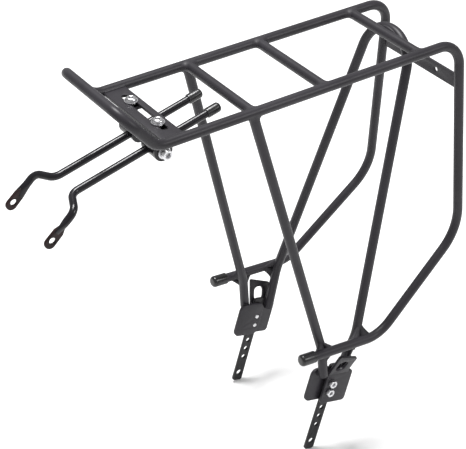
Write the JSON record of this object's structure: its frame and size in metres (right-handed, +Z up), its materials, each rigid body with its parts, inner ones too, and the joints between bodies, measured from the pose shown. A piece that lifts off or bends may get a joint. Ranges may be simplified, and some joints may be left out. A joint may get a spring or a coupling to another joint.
{
  "type": "bicycle rear rack",
  "caption": "Tubular rear pannier rack with upswept front hoop, slotted mounting plate, sliding stay rods, arched rear leg, light plate and bolt-on foot strips",
  "frame": {"origin": "halfway between the two coaxial foot holes, on the rack's middle plane", "axes": "+X to the rear of the bicycle along the deck rails, +Y to the bicycle's right along the foot-hole axis, +Z up"},
  "size_m": [0.4648, 0.1742, 0.4794],
  "materials": {
    "powder_coat": "satin black powder coat",
    "gloss_black_paint": "glossy black paint",
    "bright_steel": "bright zinc plating",
    "cap_plastic": "glossy black plastic"
  },
  "bodies": {
    "frame": {"front_hoop": "powder_coat", "left_rail": "powder_coat", "right_rail": "powder_coat", "left_tail_tube": "powder_coat", "right_tail_tube": "powder_coat", "left_lower_tube": "powder_coat", "right_lower_tube": "powder_coat", "front_cross_tube": "powder_coat", "middle_cross_tube": "powder_coat", "rear_cross_tube": "powder_coat", "slot_plate": "powder_coat", "left_front_strut": "powder_coat", "right_front_strut": "powder_coat", "arch_bow": "powder_coat", "left_arch_leg": "powder_coat", "right_arch_leg": "powder_coat", "light_plate": "powder_coat", "left_inner_plate": "powder_coat", "right_inner_plate": "powder_coat", "left_outer_plate": "powder_coat", "right_outer_plate": "powder_coat", "left_foot_strip": "gloss_black_paint", "right_foot_strip": "gloss_black_paint", "foot_bolts": "bright_steel", "left_tube_cap": "cap_plastic", "right_tube_cap": "cap_plastic"},
    "left_hanger_body": {"left_hanger": "gloss_black_paint", "left_slot_bolt": "bright_steel", "left_slot_washer": "bright_steel", "left_slot_nut": "bright_steel"},
    "left_clamp_body": {"left_clamp_barrel": "gloss_black_paint", "left_clamp_bolt": "bright_steel", "left_clamp_washer": "bright_steel"},
    "left_stay_body": {"left_stay_rod": "gloss_black_paint", "left_rod_cap": "cap_plastic"},
    "right_hanger_body": {"right_hanger": "gloss_black_paint", "right_slot_bolt": "bright_steel", "right_slot_washer": "bright_steel", "right_slot_nut": "bright_steel"},
    "right_clamp_body": {"right_clamp_barrel": "gloss_black_paint", "right_clamp_bolt": "bright_steel", "right_clamp_washer": "bright_steel"},
    "right_stay_body": {"right_stay_rod": "gloss_black_paint", "right_rod_cap": "cap_plastic"}
  },
  "joints": [
    {"name": "left_hanger_slide", "type": "slide", "parent": "frame", "child": "left_hanger_body", "axis": [0, -1, 0], "range_m": [-0.006, 0.01]},
    {"name": "left_clamp_pitch", "type": "hinge", "parent": "left_hanger_body", "child": "left_clamp_body", "pos_m": [-0.151, -0.03, 0.4], "axis": [0, 1, 0], "range_deg": [-30, 40]},
    {"name": "left_stay_slide", "type": "slide", "parent": "left_clamp_body", "child": "left_stay_body", "axis": [-0.9728, 0, -0.2317], "range_m": [-0.005, 0.045]},
    {"name": "right_hanger_slide", "type": "slide", "parent": "frame", "child": "right_hanger_body", "axis": [0, 1, 0], "range_m": [-0.006, 0.01]},
    {"name": "right_clamp_pitch", "type": "hinge", "parent": "right_hanger_body", "child": "right_clamp_body", "pos_m": [-0.151, 0.03, 0.4], "axis": [0, 1, 0], "range_deg": [-30, 40]},
    {"name": "right_stay_slide", "type": "slide", "parent": "right_clamp_body", "child": "right_stay_body", "axis": [-0.9728, 0, -0.2317], "range_m": [-0.005, 0.045]}
  ]
}
